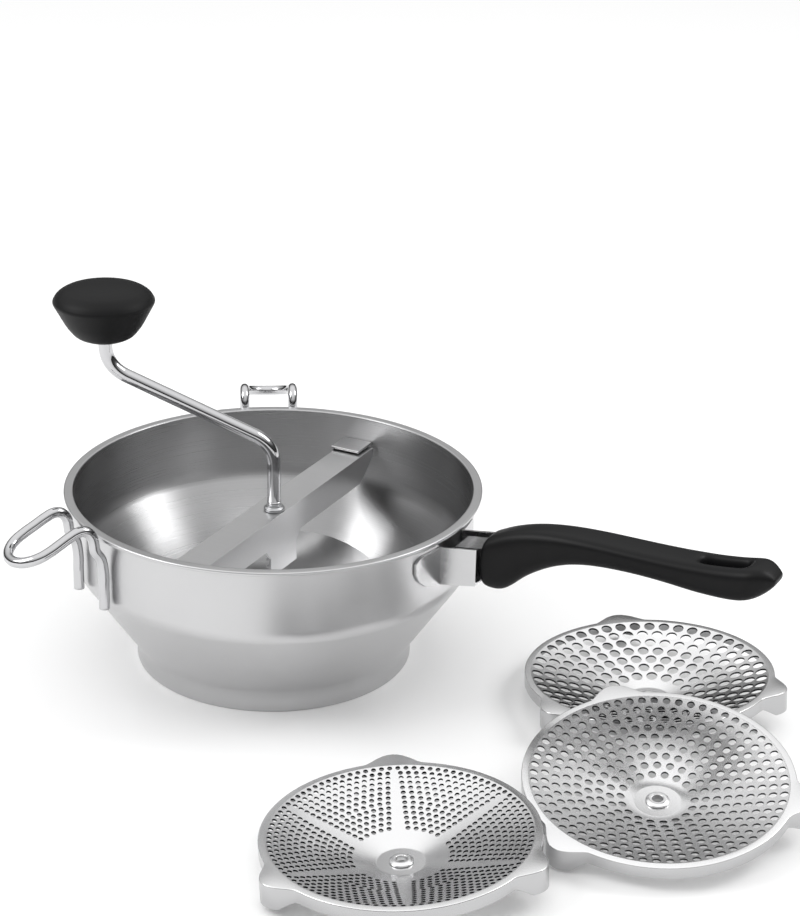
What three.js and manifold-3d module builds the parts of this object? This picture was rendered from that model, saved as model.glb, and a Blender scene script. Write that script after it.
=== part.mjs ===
// Rotary food mill: a steel bowl on a base ring, with a long handle and two wire rests, a crossbar that
// carries the crank and its spring-loaded blade, and three loose sieve discs lying beside it.
// Millimetres, +Z up, the handle points along +X, and the whole set stands on z = 0.
import * as THREE from "three";
import { mergeVertices } from "three/addons/utils/BufferGeometryUtils.js";
import Module from "manifold-3d";

const wasm = await Module();
wasm.setup();

// ---- driving dimensions ----
const gap = 0.3; // clearance left between pieces that touch
const sides = 48; // facets round the bowl

const bowl = {
  rimRadius: 120, // outside of the rolled rim
  rimDepth: 2.3, // thickness of the rolled rim
  rimReach: 4.5, // how far the rim stands out from the upright band
  wall: 1.2,
  height: 105,
  coneTop: 62, // height where the band meets the cone
  ringHeight: 10.7, // height of the base ring
  ringRadius: 80.5, // outside of the base ring
  lugs: 3, // tabs inside the base ring that hold a disc's ears
  lugWidth: 16,
  lugReach: 4,
};

const disc = {
  radius: 70.5, // outside of the rim
  depth: 17, // from the rim down to the hub
  rimWidth: 3.5,
  sheet: 1,
  skirt: 7, // height of the turned-down edge
  hubRadius: 13,
  boreRadius: 4.6,
  ears: 3,
  earReach: 8.5, // how far the tip of an ear stands out from the rim
  earSpread: 12.5, // degrees from an ear's tip to where it meets the rim
  earDrop: 12.5, // from the rim down to an ear's lower edge
};

const bar = {
  width: 19.5,
  top: 88, // height of its upper face
  flange: 18, // depth of the side flanges
  apron: 36, // depth of the near flange at the middle
  apronLength: 30,
  sheet: 1.5,
  endGap: 3.1, // left between the bar's ends and the bowl's wall
  clear: 0.4, // left between its near flange and the spring
  turn: 92, // degrees from the handle to the bar
};

const catchPlate = { length: 18.3, width: 19, sheet: 1.5, clear: 1, stop: 7 };

const crank = {
  rod: 8, // diameter
  neck: 6, // diameter below the shoulder
  shoulder: 92, // height where the rod steps down to its neck
  elbow: 128.7, // height of the lower bend
  reach: 94, // from the bowl's axis to the knob's axis
  upper: 176.3, // height of the upper bend
  end: 206, // height of the rod's upper end
  bend: 13, // how far each bend reaches along its straights
  turn: 212, // degrees from the handle to the crank arm
  foot: 6, // height of the neck's lower end
};

const knob = {
  bore: 4.3,
  foot: 193,
  pocket: 7.2, // radius of the pocket that hides the rod's end
  pocketFoot: 201,
  pocketTop: 211,
  // radius and height of the outside, from the foot up to the crown
  outline: [
    [11.6, 193],
    [14.2, 193.7],
    [16.6, 195.3],
    [18.8, 197.7],
    [21.3, 201.2],
    [23.5, 205.2],
    [25.4, 209],
    [27.2, 212.4],
    [28.2, 214.2],
    [28.4, 215.2],
    [27.9, 216.5],
    [26.4, 218.5],
    [23, 220.9],
    [17, 222.8],
    [9, 223.8],
  ],
  crown: 224,
};
const bush = { wall: 1.3, collar: 6, foot: 85, top: 91.6 };
const spring = { clear: 1.1, wire: 1.1, turns: 7, top: 83.2, foot: 46.9, hold: 1.1 };
const blade = {
  radius: 66,
  sheet: 2,
  hubRadius: 6.5,
  hubTop: 46,
  hubFoot: 13,
  low: 14, // height of its leading edge at the hub
  rise: 22, // how far it climbs over its sweep
  slope: 0.31, // how fast it climbs outwards
  ceiling: 43,
  sweep: 190, // degrees
};
const pin = { radius: 1.3, height: 10.6, length: 15, hole: 1.6 };

const bracket = {
  width: 28,
  sheet: 1.5,
  root: 0.5, // distance from the band to the bends of its wings
  front: 22.5, // distance from the band to its front edge, against the grip
  topRoot: 97.7,
  topFront: 101.4,
  footRoot: 75.2,
  footFront: 79.7,
  wing: 34, // how far each wing spreads to the side
};

const tang = { start: 122, end: 164, width: 16.4, sheet: 1.5, top: 97.5, slope: 0.167, depth: 12 };
const screw = { at: 150, head: 3.6, headHeight: 2.4, foot: 79.2, shank: 2, top: 104 };

const grip = {
  halfWidth: 10.6,
  endHalfWidth: 13,
  slotStart: 265.5, // the hang hole, a slot through the outer end
  slotEnd: 284.5,
  slotRadius: 3.5,
  // distance along the handle, height of the upper and of the lower edge
  profile: [
    [138.3, 102, 81.4],
    [139.6, 106, 78.6],
    [141.5, 107.2, 77.2],
    [146, 109.4, 77],
    [151.7, 112.1, 77.6],
    [157, 113.9, 82],
    [163.5, 115.9, 88.5],
    [170, 117.4, 92.9],
    [176.8, 118.5, 97.2],
    [184, 119.4, 100.6],
    [191.3, 120, 103.2],
    [199, 120.4, 104.8],
    [208.5, 120.6, 106.3],
    [222, 120.7, 107],
    [237, 120.9, 107.2],
    [251, 121.5, 106.4],
    [265.2, 122.4, 105.6],
    [274, 123.3, 105.6],
    [281.7, 124.4, 105.9],
    [289.2, 125.7, 107.4],
    [293.4, 126.6, 109.4],
    [297.5, 126, 111.7],
    [301.2, 124, 115.8],
    [304, 121.4, 119.6],
  ],
};

const rest = {
  wire: 6, // diameter
  spacing: 30, // between the two legs
  loop: 151, // distance from the bowl's axis to the centre of the round loop
  // distance from the bowl's axis and height along one leg
  leg: [
    [118.9, 63],
    [118.9, 74],
    [118.9, 86],
    [120.4, 93.5],
    [123.4, 98.6],
    [124, 103],
    [125, 107.2],
    [128.4, 111.2],
    [133, 112],
    [137.5, 110.6],
    [144, 107.6],
  ],
  turns: { left: 244, back: 123.5 }, // degrees from the handle
};

// ---- where the loose discs lie: centre of the rim, which way each leans, how far, and its own turn ----
const places = {
  fine: { x: 177.1, y: -166.4, z: 18.95, lean: 183, tilt: 3.5, turn: 2 },
  medium: { x: 269.6, y: -59.7, z: 24.7, lean: 282, tilt: 8.8, turn: 12 },
  coarse: { x: 216.9, y: 53, z: 19.1, lean: 162, tilt: 4, turn: 7 },
};

// ---- materials ----
const steel = new THREE.MeshStandardMaterial({ color: 0xc9cbcd, roughness: 0.22, metalness: 1 });
const wireSteel = new THREE.MeshStandardMaterial({ color: 0xb9bcc0, roughness: 0.12, metalness: 1 });
const springSteel = new THREE.MeshStandardMaterial({ color: 0x9fa2a6, roughness: 0.35, metalness: 1 });
const black = new THREE.MeshStandardMaterial({ color: 0x17181a, roughness: 0.55, metalness: 0 });

// ---- helpers ----
const radians = (degrees) => (degrees * Math.PI) / 180;

const set = new THREE.Group();
set.name = "food_mill";

// turns a three.js geometry into a solid that can be cut or joined
function solidOf(geometry) {
  const bare = geometry.clone();
  bare.deleteAttribute("normal");
  bare.deleteAttribute("uv");
  const welded = mergeVertices(bare, 1e-4);
  const index = welded.index.array;
  const kept = [];
  for (let i = 0; i < index.length; i += 3) {
    const [a, b, c] = [index[i], index[i + 1], index[i + 2]];
    if (a !== b && b !== c && c !== a) {
      kept.push(a, b, c);
    }
  }
  const mesh = new wasm.Mesh({
    numProp: 3,
    vertProperties: new Float32Array(welded.attributes.position.array),
    triVerts: new Uint32Array(kept),
  });
  return new wasm.Manifold(mesh);
}

// turns a solid back into a three.js geometry
function geometryOf(solid) {
  const mesh = solid.getMesh();
  const geometry = new THREE.BufferGeometry();
  geometry.setAttribute("position", new THREE.BufferAttribute(new Float32Array(mesh.vertProperties), 3));
  geometry.setIndex(new THREE.BufferAttribute(new Uint32Array(mesh.triVerts), 1));
  geometry.computeVertexNormals();
  return geometry;
}

// a closed outline of [radius, height] pairs, counter-clockwise, turned about +Z
function turned(outline, facets) {
  const points = [...outline, outline[0]].map(([r, z]) => new THREE.Vector2(r, z));
  return new THREE.LatheGeometry(points, facets).rotateX(Math.PI / 2);
}

const turnedSolid = (outline, facets) => solidOf(turned(outline, facets));

// a ring between two radii and two heights
const ringOutline = (inner, outer, low, high) => [
  [inner, low],
  [outer, low],
  [outer, high],
  [inner, high],
];

function cylinder(radius, low, high, facets = 24) {
  const rod = new THREE.CylinderGeometry(radius, radius, high - low, facets);
  return rod.rotateX(Math.PI / 2).translate(0, 0, (low + high) / 2);
}

function block(x0, x1, y0, y1, z0, z1) {
  const box = new THREE.BoxGeometry(x1 - x0, y1 - y0, z1 - z0);
  return box.translate((x0 + x1) / 2, (y0 + y1) / 2, (z0 + z1) / 2);
}

const blockSolid = (...limits) => solidOf(block(...limits));

function outlineShape(points) {
  return new THREE.Shape(points.map(([x, y]) => new THREE.Vector2(x, y)));
}

// an outline of [x, z] pairs, given thickness from y0 to y1
function sidePlate(points, y0, y1) {
  const plate = new THREE.ExtrudeGeometry(outlineShape(points), { depth: y1 - y0, bevelEnabled: false });
  return solidOf(plate.rotateX(Math.PI / 2).translate(0, y1, 0));
}

// an outline of [x, y] pairs, raised from z0 to z1
function raisedPlate(points, z0, z1) {
  const plate = new THREE.ExtrudeGeometry(outlineShape(points), { depth: z1 - z0, bevelEnabled: false });
  return solidOf(plate.translate(0, 0, z0));
}

// round wire along a curve
function wireAlong(curve, radius, steps, facets) {
  const round = new THREE.Shape();
  round.absarc(0, 0, radius, 0, Math.PI * 2, false);
  return new THREE.ExtrudeGeometry(round, {
    steps,
    curveSegments: facets,
    bevelEnabled: false,
    extrudePath: curve,
  });
}

function add(name, shape, material) {
  const geometry = shape.isBufferGeometry ? shape : geometryOf(shape);
  const mesh = new THREE.Mesh(geometry, material);
  mesh.name = name;
  set.add(mesh);
  return mesh;
}

// ---- bowl: rolled rim, upright band, cone and base ring in one sheet, with lugs inside the ring ----
const bandRadius = bowl.rimRadius - bowl.rimReach;
const inside = bandRadius - bowl.wall;
const outward = bandRadius - 115.5; // how far the handle and the rests move out in a wider bowl
const ringInside = bowl.ringRadius - bowl.wall;
const underRim = bowl.height - bowl.rimDepth;
const bowlSolid = turnedSolid(
  [
    [ringInside, 0],
    [bowl.ringRadius, 0],
    [bowl.ringRadius, bowl.ringHeight],
    [bandRadius - 1.4, bowl.coneTop - 2.2],
    [bandRadius - 0.3, bowl.coneTop],
    [bandRadius, bowl.coneTop + 2.6],
    [bandRadius, underRim],
    [bowl.rimRadius - 0.8, underRim],
    [bowl.rimRadius, underRim + 0.8],
    [bowl.rimRadius - 0.3, bowl.height - 0.5],
    [bowl.rimRadius - 1.2, bowl.height],
    [inside + 1, bowl.height],
    [inside + 0.1, bowl.height - 0.6],
    [inside, bowl.height - 1.6],
    [inside, bowl.coneTop + 3],
    [inside - 0.3, bowl.coneTop + 0.6],
    [inside - 1.3, bowl.coneTop - 1.4],
    [ringInside, bowl.ringHeight + 1],
  ],
  sides,
);
const lugInner = ringInside - bowl.lugReach;
const lugBox = blockSolid(lugInner, ringInside + 0.6, -bowl.lugWidth / 2, bowl.lugWidth / 2, 8.6, 9.8);
let bowlWithLugs = bowlSolid;
for (let k = 0; k < bowl.lugs; k += 1) {
  bowlWithLugs = bowlWithLugs.add(lugBox.rotate([0, 0, 60 + (k * 360) / bowl.lugs]));
}
add("bowl", bowlWithLugs, steel);

// ---- crossbar: an inverted channel, with one flange deepened to an apron at the middle ----
const springRadius = crank.neck / 2 + spring.clear;
const nearEdge = -(springRadius + spring.wire / 2 + bar.clear + bar.sheet);
const farEdge = nearEdge + bar.width;
const half = inside - bar.endGap;
const bushRadius = crank.neck / 2 + gap + bush.wall;
const flangeFoot = bar.top - bar.flange;
const barOutline = [
  [-half, bar.top - 5],
  [-half + 16, flangeFoot],
  [half - 16, flangeFoot],
  [half, bar.top - 5],
  [half, bar.top],
  [-half, bar.top],
];
const apronFoot = bar.top - bar.apron;
const reach = bar.apronLength / 2;
const nearOutline = [
  [-half, bar.top - 5],
  [-half + 16, flangeFoot],
  [-reach - 5, flangeFoot],
  [-reach, flangeFoot - 6],
  [-reach, apronFoot],
  [reach, apronFoot],
  [reach, flangeFoot - 6],
  [reach + 5, flangeFoot],
  [half - 16, flangeFoot],
  [half, bar.top - 5],
  [half, bar.top],
  [-half, bar.top],
];
const barSolid = blockSolid(-half, half, nearEdge, farEdge, bar.top - bar.sheet, bar.top)
  .add(sidePlate(barOutline, farEdge - bar.sheet, farEdge))
  .add(sidePlate(nearOutline, nearEdge, nearEdge + bar.sheet))
  .subtract(solidOf(cylinder(bushRadius + gap, bar.top - 4, bar.top + 2)));
add("crossbar", geometryOf(barSolid).rotateZ(radians(bar.turn)), steel);

// ---- catches: plates on the bowl's wall that hold the bar's ends down, each with a stop on one side ----
const plateFoot = bar.top + catchPlate.clear;
const plateTop = plateFoot + catchPlate.sheet;
const plateStart = inside - catchPlate.length;
const stopEdge = farEdge + gap + 0.1;
const wallCut = solidOf(cylinder(inside - gap, 60, 110, sides * 2));
const farCatch = blockSolid(
  plateStart,
  inside + 1.5,
  stopEdge + catchPlate.sheet - catchPlate.width,
  stopEdge + catchPlate.sheet,
  plateFoot,
  plateTop,
)
  .add(
    blockSolid(
      plateStart,
      inside + 1.5,
      stopEdge,
      stopEdge + catchPlate.sheet,
      bar.top - catchPlate.stop,
      plateTop,
    ),
  )
  .intersect(wallCut);
add("catch_far", geometryOf(farCatch).rotateZ(radians(bar.turn)), steel);
const nearStop = nearEdge - gap - 0.1;
const nearCatch = blockSolid(
  -inside - 1.5,
  -plateStart,
  nearStop - catchPlate.sheet,
  nearStop - catchPlate.sheet + catchPlate.width,
  plateFoot,
  plateTop,
)
  .add(
    blockSolid(
      -inside - 1.5,
      -plateStart,
      nearStop - catchPlate.sheet,
      nearStop,
      bar.top - catchPlate.stop,
      plateTop,
    ),
  )
  .intersect(wallCut);
add("catch_near", geometryOf(nearCatch).rotateZ(radians(bar.turn)), steel);

// ---- bush in the bar, round the crank's neck ----
const bore = crank.neck / 2 + gap;
add(
  "shaft_bush",
  turned(
    [
      [bore, bush.foot],
      [bushRadius, bush.foot],
      [bushRadius, bar.top + gap],
      [bush.collar, bar.top + gap],
      [bush.collar, bar.top + 1.8],
      [bushRadius, bar.top + 2.4],
      [bushRadius, bush.top],
      [bore, bush.top],
    ],
    16,
  ),
  springSteel,
);

// ---- crank: one bent rod, stepped down to a neck that carries the blade ----
const elbow = new THREE.Vector3(0, 0, crank.elbow);
const upper = new THREE.Vector3(crank.reach, 0, crank.upper);
const slope = upper.clone().sub(elbow).normalize();
const lift = new THREE.Vector3(0, 0, 1);
const corner = (point, along, amount) => point.clone().addScaledVector(along, amount);
const rodPath = new THREE.CurvePath();
const rodStart = new THREE.Vector3(0, 0, crank.shoulder);
const rodEnd = new THREE.Vector3(crank.reach, 0, crank.end);
rodPath.add(new THREE.LineCurve3(rodStart, corner(elbow, lift, -crank.bend)));
rodPath.add(
  new THREE.QuadraticBezierCurve3(corner(elbow, lift, -crank.bend), elbow, corner(elbow, slope, crank.bend)),
);
rodPath.add(new THREE.LineCurve3(corner(elbow, slope, crank.bend), corner(upper, slope, -crank.bend)));
rodPath.add(
  new THREE.QuadraticBezierCurve3(corner(upper, slope, -crank.bend), upper, corner(upper, lift, crank.bend)),
);
rodPath.add(new THREE.LineCurve3(corner(upper, lift, crank.bend), rodEnd));
const rodSolid = solidOf(wireAlong(rodPath, crank.rod / 2, 44, 6))
  .add(solidOf(cylinder(crank.neck / 2, crank.foot, crank.shoulder + 1, 12)))
  .subtract(solidOf(cylinder(pin.hole, -8, 8, 12).rotateX(Math.PI / 2).translate(0, 0, pin.height)));
add("crank_rod", geometryOf(rodSolid).rotateZ(radians(crank.turn)), wireSteel);

// ---- knob: a flared grip with a domed top, free to spin on the rod, held by a push-on ring ----
const knobMesh = add(
  "crank_knob",
  turned(
    [
      [knob.bore, knob.foot],
      ...knob.outline,
      [0, knob.crown],
      [0, knob.pocketTop],
      [knob.pocket, knob.pocketTop],
      [knob.pocket, knob.pocketFoot],
      [knob.bore, knob.pocketFoot],
    ],
    28,
  ),
  black,
);
const retainer = add(
  "knob_retainer",
  turned(ringOutline(crank.rod / 2 + gap, 6.4, knob.pocketFoot + 0.4, knob.pocketFoot + 2.2), 24),
  springSteel,
);
for (const mesh of [knobMesh, retainer]) {
  mesh.geometry.translate(crank.reach, 0, 0);
  mesh.geometry.rotateZ(radians(crank.turn));
}

// ---- spring between two washers, round the neck ----
class Helix extends THREE.Curve {
  getPoint(t, target = new THREE.Vector3()) {
    const angle = t * spring.turns * Math.PI * 2;
    const low = spring.foot + spring.hold + spring.wire;
    const high = spring.top - spring.hold - spring.wire;
    const height = low + t * (high - low);
    return target.set(springRadius * Math.cos(angle), springRadius * Math.sin(angle), height);
  }
}
add("spring", wireAlong(new Helix(), spring.wire / 2, spring.turns * 10, 3), springSteel);
const washer = (low, high, outer) => turned(ringOutline(bore, outer, low, high), 16);
add("spring_washer_top", washer(spring.top, spring.top + 1.2, 4.6), springSteel);
add("spring_washer_foot", washer(blade.hubTop + gap, blade.hubTop + gap + 1.2, 6), springSteel);

// ---- blade: half a shallow screw turn of sheet, low at its leading edge, on a hub ----
function bladeGeometry() {
  const rings = 4;
  const steps = 18;
  const inner = blade.hubRadius - 0.6;
  const position = [];
  for (const side of [0, blade.sheet]) {
    for (let i = 0; i <= steps; i += 1) {
      for (let j = 0; j <= rings; j += 1) {
        const r = inner + ((blade.radius - inner) * j) / rings;
        const angle = radians((blade.sweep * i) / steps);
        const climb = blade.rise * (i / steps) ** 2 * (1 - (0.35 * j) / rings);
        const surface = Math.min(blade.low + blade.slope * (r - inner) + climb, blade.ceiling);
        position.push(r * Math.cos(angle), r * Math.sin(angle), surface + side);
      }
    }
  }
  const row = rings + 1;
  const layer = row * (steps + 1);
  const index = [];
  const quad = (a, b, c, d) => index.push(a, b, c, a, c, d);
  for (let i = 0; i < steps; i += 1) {
    for (let j = 0; j < rings; j += 1) {
      const a = i * row + j;
      quad(a, a + row, a + row + 1, a + 1);
      quad(layer + a, layer + a + 1, layer + a + row + 1, layer + a + row);
    }
    const first = i * row;
    quad(first, first + layer, first + row + layer, first + row);
    const last = first + rings;
    quad(last, last + row, last + row + layer, last + layer);
  }
  for (let j = 0; j < rings; j += 1) {
    quad(j, j + 1, j + 1 + layer, j + layer);
    const end = steps * row + j;
    quad(end, end + layer, end + 1 + layer, end + 1);
  }
  const geometry = new THREE.BufferGeometry();
  geometry.setAttribute("position", new THREE.Float32BufferAttribute(position, 3));
  geometry.setIndex(index);
  return geometry;
}
const hubSolid = turnedSolid(ringOutline(bore, blade.hubRadius, blade.hubFoot, blade.hubTop), 24);
const hubCore = solidOf(cylinder(blade.hubRadius + gap, blade.low - 8, blade.hubTop + 8, 24));
const bladeSolid = solidOf(bladeGeometry()).subtract(hubCore);
add("blade", geometryOf(bladeSolid).rotateZ(radians(crank.turn + 80)), steel);
add("blade_hub", geometryOf(hubSolid).rotateZ(radians(crank.turn)), steel);
const pinRod = cylinder(pin.radius, -pin.length / 2, pin.length / 2, 12).rotateX(Math.PI / 2);
add("blade_pin", pinRod.translate(0, 0, pin.height).rotateZ(radians(crank.turn)), springSteel);

// ---- handle bracket: an open channel whose wings lie along the band ----
const wall = bracket.width / 2;
const root = bandRadius + bracket.root;
const front = bandRadius + bracket.front;
const channelOutline = [
  [root - 1, bracket.topRoot - 0.1],
  [front, bracket.topFront],
  [front, bracket.footFront],
  [root - 1, bracket.footRoot - 0.1],
];
const hollowOutline = [
  [root - 8, bracket.topRoot + 8],
  [front + 8, bracket.topFront + 8],
  [front + 8, bracket.footFront + 3.2],
  [root - 8, bracket.footRoot],
];
const wingOutline = [
  [-bracket.wing, 88],
  [-bracket.wing + 2.5, 83],
  [-bracket.wing + 8, 78.5],
  [-wall, bracket.footRoot],
  [wall, bracket.footRoot],
  [bracket.wing - 8, 78.5],
  [bracket.wing - 2.5, 83],
  [bracket.wing, 88],
  [bracket.wing, 94.4],
  [bracket.wing - 2.5, 96.8],
  [bracket.wing - 6, bracket.topRoot],
  [-bracket.wing + 6, bracket.topRoot],
  [-bracket.wing + 2.5, 96.8],
  [-bracket.wing, 94.4],
];
const bandOut = bandRadius + gap;
const wingPrism = solidOf(
  new THREE.ExtrudeGeometry(outlineShape(wingOutline), { depth: 60, bevelEnabled: false })
    .rotateX(Math.PI / 2)
    .rotateZ(Math.PI / 2)
    .translate(80, 0, 0),
);
const bandSleeve = turnedSolid(ringOutline(bandOut, bandOut + bracket.sheet, 60, 102), sides * 2);
const doorEdge = wall - bracket.sheet;
const doorway = blockSolid(bandOut - 26, bandOut + 8, -doorEdge, doorEdge, bracket.footRoot + 3, 110);
const wings = wingPrism.intersect(bandSleeve).subtract(doorway);
const channel = sidePlate(channelOutline, -wall, wall)
  .subtract(sidePlate(hollowOutline, -wall + bracket.sheet, wall - bracket.sheet))
  .subtract(solidOf(cylinder(bandOut, 60, 110, sides * 2)));
add("handle_bracket", channel.add(wings), steel);

// ---- tang: an inverted channel inside the bracket, running on into the grip ----
// the tang, grip and screw are laid out for a band of 115.5 and moved outward at the end
const mouth = 115.5 + bracket.front;
const tangTop = (x) => tang.top + (x - tang.start) * tang.slope;
const floorTop = (x) => bracket.footRoot + 2.2 + ((x - mouth + 22) * 4.5) / 22;
const deepEnd = mouth - 0.6;
const tangOutline = [
  [tang.start, floorTop(tang.start)],
  [deepEnd, floorTop(deepEnd)],
  [deepEnd, tangTop(deepEnd) - tang.depth],
  [tang.end, tangTop(tang.end) - tang.depth],
  [tang.end, tangTop(tang.end)],
  [tang.start, tangTop(tang.start)],
];
const tangHollow = [
  [tang.start - 8, 60],
  [tang.end + 8, 60],
  [tang.end + 8, tangTop(tang.end + 8) - tang.sheet],
  [tang.start - 8, tangTop(tang.start - 8) - tang.sheet],
];
const tangHalf = tang.width / 2;
const tangSolid = sidePlate(tangOutline, -tangHalf, tangHalf)
  .subtract(sidePlate(tangHollow, -tangHalf + tang.sheet, tangHalf - tang.sheet))
  .subtract(solidOf(cylinder(screw.shank + gap, 60, 110).translate(screw.at, 0, 0)));
add("handle_tang", tangSolid.translate([outward, 0, 0]), steel);

// ---- grip: a rounded handle with a pocket for the tang and a hang hole ----
function gripGeometry() {
  const around = 20;
  const start = grip.profile[0][0];
  const finish = grip.profile[grip.profile.length - 1][0];
  const position = [];
  for (const [x, high, low] of grip.profile) {
    const t = (x - start) / (finish - start);
    const width = grip.halfWidth + (grip.endHalfWidth - grip.halfWidth) * t;
    const fade = Math.min(1, Math.sqrt(Math.max(0, finish + 1.2 - x) / 12));
    for (let k = 0; k < around; k += 1) {
      const angle = ((k + 0.5) / around) * Math.PI * 2;
      const across = Math.sign(Math.cos(angle)) * Math.abs(Math.cos(angle)) ** 0.62;
      const up = Math.sign(Math.sin(angle)) * Math.abs(Math.sin(angle)) ** 0.62;
      position.push(x, width * fade * across, (high + low) / 2 + ((high - low) / 2) * up);
    }
  }
  const stations = grip.profile.length;
  const index = [];
  for (let i = 0; i < stations - 1; i += 1) {
    for (let k = 0; k < around; k += 1) {
      const a = i * around + k;
      const b = i * around + ((k + 1) % around);
      index.push(a, b + around, a + around, a, b, b + around);
    }
  }
  const last = (stations - 1) * around;
  for (let k = 1; k < around - 1; k += 1) {
    index.push(0, k + 1, k);
    index.push(last, last + k, last + k + 1);
  }
  const geometry = new THREE.BufferGeometry();
  geometry.setAttribute("position", new THREE.Float32BufferAttribute(position, 3));
  geometry.setIndex(index);
  return geometry;
}
const pocketOutline = [
  [mouth - 4, tangTop(mouth - 4) - tang.depth - gap],
  [tang.end + gap, tangTop(tang.end) - tang.depth - gap],
  [tang.end + gap, tangTop(tang.end) + gap],
  [mouth - 4, tangTop(mouth - 4) + gap],
];
const slotOutline = [];
for (let k = 0; k <= 8; k += 1) {
  const angle = radians(-90 + (k * 180) / 8);
  slotOutline.push([grip.slotEnd + grip.slotRadius * Math.cos(angle), grip.slotRadius * Math.sin(angle)]);
}
for (let k = 0; k <= 8; k += 1) {
  const angle = radians(90 + (k * 180) / 8);
  slotOutline.push([grip.slotStart + grip.slotRadius * Math.cos(angle), grip.slotRadius * Math.sin(angle)]);
}
const headTop = screw.foot + screw.headHeight;
const gripSolid = solidOf(gripGeometry())
  .subtract(sidePlate(pocketOutline, -tangHalf - gap, tangHalf + gap))
  .subtract(raisedPlate(slotOutline, 90, 140))
  .subtract(solidOf(cylinder(screw.shank + 0.4, 70, screw.top + 1.5).translate(screw.at, 0, 0)))
  .subtract(solidOf(cylinder(screw.head + 0.4, 60, headTop + gap).translate(screw.at, 0, 0)));
add("handle_grip", gripSolid.translate([outward, 0, 0]), black);

// ---- screw that holds the grip to the tang, from below ----
const screwSolid = turnedSolid(
  [
    [0, screw.foot],
    [screw.head - 0.5, screw.foot],
    [screw.head, screw.foot + 0.6],
    [screw.head, headTop],
    [screw.shank, headTop],
    [screw.shank, screw.top],
    [0, screw.top],
  ],
  20,
).subtract(blockSolid(-5, 5, -0.5, 0.5, screw.foot - 1, screw.foot + 0.9));
add("handle_screw", screwSolid.translate([screw.at + outward, 0, 0]), springSteel);

// ---- wire rests: two legs on the band, over the rim and out to a round loop ----
function restGeometry(turn) {
  const side = rest.spacing / 2;
  const points = rest.leg.map(([r, z]) => new THREE.Vector3(r + outward, -side, z));
  for (let k = 0; k <= 8; k += 1) {
    const angle = radians(-90 + (k * 180) / 8);
    const r = rest.loop + side * Math.cos(angle);
    points.push(new THREE.Vector3(r + outward, side * Math.sin(angle), 104.4 - 0.42 * (r - rest.loop)));
  }
  for (const [r, z] of [...rest.leg].reverse()) {
    points.push(new THREE.Vector3(r + outward, side, z));
  }
  const path = new THREE.CatmullRomCurve3(points, false, "centripetal");
  return wireAlong(path, rest.wire / 2, 52, 5).rotateZ(radians(turn));
}
add("rest_left", restGeometry(rest.turns.left), wireSteel);
add("rest_back", restGeometry(rest.turns.back), wireSteel);

// ---- sieve discs: a shallow dish with a flat rim, a turned-down skirt and three ears ----
function earOutline(inset) {
  const points = [];
  const spread = disc.earSpread * (1 - inset / 30);
  for (let k = 0; k <= 8; k += 1) {
    const angle = -spread + (2 * spread * k) / 8;
    const swell = Math.cos((angle / spread) * (Math.PI / 2)) ** 1.5;
    const r = disc.radius - 0.6 + (disc.earReach + 0.6 - inset) * swell;
    points.push([r * Math.cos(radians(angle)), r * Math.sin(radians(angle))]);
  }
  const back = disc.radius - 6.5;
  points.push([back * Math.cos(radians(spread)), back * Math.sin(radians(spread))]);
  points.push([back * Math.cos(radians(-spread)), back * Math.sin(radians(-spread))]);
  return points;
}
const dish = turnedSolid(
  [
    [disc.boreRadius, -disc.depth - disc.sheet],
    [disc.hubRadius, -disc.depth - disc.sheet],
    [disc.radius - disc.rimWidth + 0.4, -disc.sheet],
    [disc.radius - disc.sheet, -disc.sheet],
    [disc.radius - disc.sheet, -disc.skirt],
    [disc.radius, -disc.skirt],
    [disc.radius, -0.4],
    [disc.radius - 0.4, 0],
    [disc.radius - disc.rimWidth, 0],
    [disc.hubRadius - 0.6, -disc.depth],
    [disc.boreRadius, -disc.depth],
  ],
  40,
);
const core = solidOf(cylinder(disc.radius - disc.sheet / 2, -20, 5, 40));
const ear = raisedPlate(earOutline(0), -disc.earDrop, -0.2)
  .subtract(raisedPlate(earOutline(disc.sheet), -disc.earDrop - 2, -0.2 - disc.sheet))
  .subtract(core);
let discSolid = dish;
for (let k = 0; k < disc.ears; k += 1) {
  discSolid = discSolid.add(ear.rotate([0, 0, (k * 360) / disc.ears]));
}
const eyelet = turned(
  [
    [2.9, -disc.depth - disc.sheet - 0.1],
    [disc.boreRadius - gap, -disc.depth - disc.sheet - 0.1],
    [disc.boreRadius - gap, -disc.depth + gap],
    [6.2, -disc.depth + gap],
    [6.2, -disc.depth + 1.1],
    [4.6, -disc.depth + 1.9],
    [2.9, -disc.depth + 1.9],
  ],
  16,
);

// lays a piece of a disc down at its own place; wider discs lie further apart and lean less
const spreadOut = disc.radius / 70.5;
function layDown(geometry, { x, y, z, lean, tilt, turn }) {
  const axis = new THREE.Vector3(-Math.sin(radians(lean)), Math.cos(radians(lean)), 0);
  const pose = new THREE.Matrix4().makeTranslation(x * spreadOut, y * spreadOut, z);
  pose.multiply(new THREE.Matrix4().makeRotationAxis(axis, radians(tilt / spreadOut)));
  pose.multiply(new THREE.Matrix4().makeRotationZ(radians(turn)));
  return geometry.clone().applyMatrix4(pose);
}
for (const [size, place] of Object.entries(places)) {
  add(`disc_${size}`, layDown(geometryOf(discSolid), place), steel);
  add(`eyelet_${size}`, layDown(eyelet, place), steel);
}

// ---- stand the set with the middle of its footprint on the origin ----
const footprint = new THREE.Box3().setFromObject(set);
const middle = footprint.getCenter(new THREE.Vector3());
for (const mesh of set.children) {
  mesh.geometry.translate(-middle.x, -middle.y, 0);
  mesh.geometry.computeVertexNormals();
}

export default set;
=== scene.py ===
import math

import bmesh
import bpy
from mathutils import Matrix, Quaternion, Vector


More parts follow.
